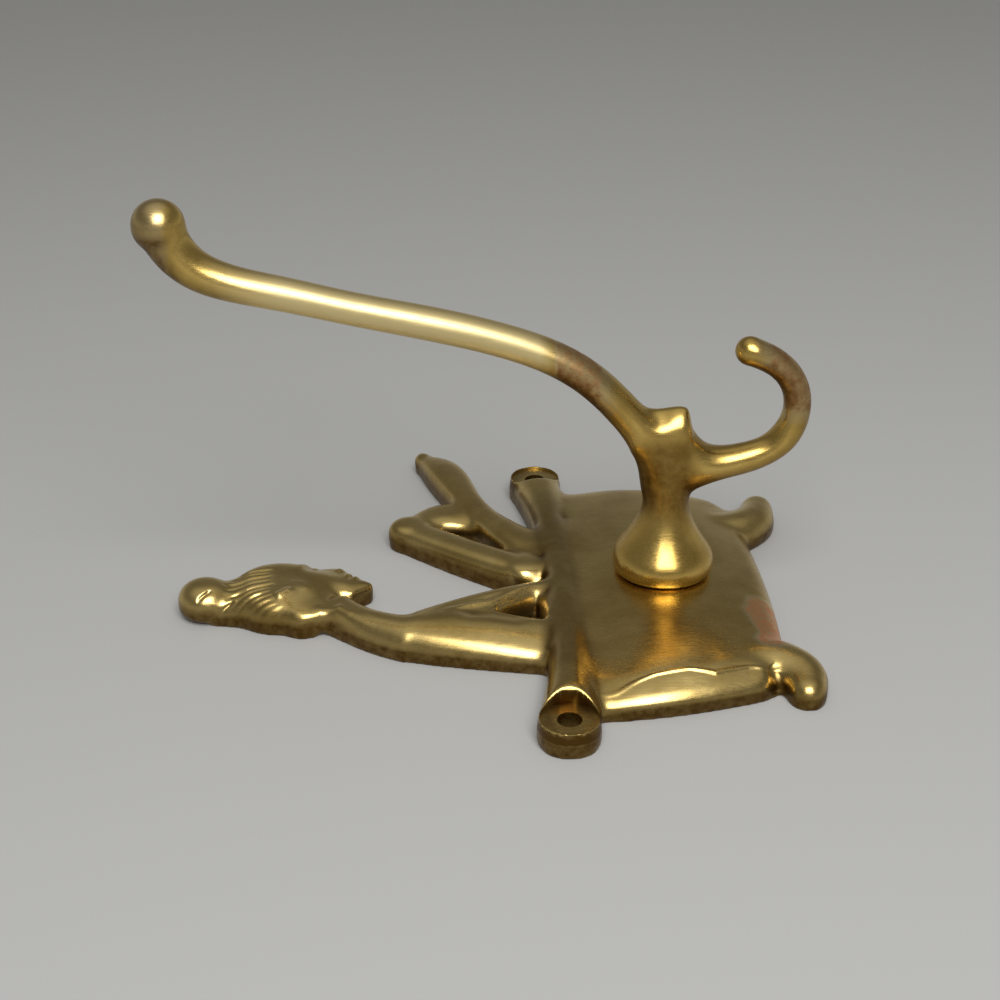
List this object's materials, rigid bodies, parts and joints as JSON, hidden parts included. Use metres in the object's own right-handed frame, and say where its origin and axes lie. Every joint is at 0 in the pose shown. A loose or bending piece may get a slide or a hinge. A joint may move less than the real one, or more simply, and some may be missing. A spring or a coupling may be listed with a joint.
{
  "type": "towel hook",
  "caption": "Cast brass wall hook: a bather in a claw-foot tub carries a long curved arm with a ball end and a small hook.",
  "frame": {"origin": "midpoint of the two wall-screw holes, on the back face that lies against the wall", "axes": "+Z out of the wall; -X up the wall, towards the bather's head; Y along the line of the two wall-screw holes"},
  "size_m": [0.1278, 0.116, 0.0856],
  "materials": {
    "cast_brass": "aged, hand-polished casting with brown patina in the recesses",
    "steel": "plain bright zinc-plated steel"
  },
  "bodies": {
    "root": {"backplate": "cast_brass", "double_hook": "cast_brass", "fixing_screw": "steel", "lock_washer": "steel"}
  },
  "joints": []
}
